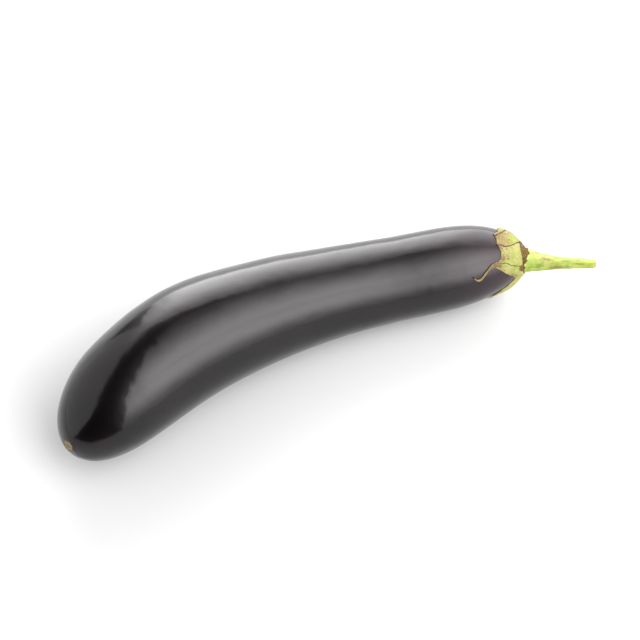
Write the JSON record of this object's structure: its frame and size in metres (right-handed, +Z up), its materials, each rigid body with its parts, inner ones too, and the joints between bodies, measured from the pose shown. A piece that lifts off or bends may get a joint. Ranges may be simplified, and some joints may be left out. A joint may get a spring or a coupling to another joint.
{
  "type": "eggplant",
  "caption": "Long, gently bent dark purple eggplant lying on its side, with a lobed green-brown calyx and a cut tapering stem.",
  "frame": {"origin": "On the surface the eggplant lies on, under the middle of its bounding box.", "axes": "+Z is up. +X runs along the fruit from the rounded blossom end to the cut stem, and is the longest extent. The bent fruit bows towards +Y."},
  "size_m": [0.2672, 0.0692, 0.0534],
  "materials": {
    "skin": "gloss",
    "calyx": "matte",
    "stem": "satin"
  },
  "bodies": {
    "root": {"fruit": "skin", "calyx": "calyx", "stem": "stem"}
  },
  "joints": []
}
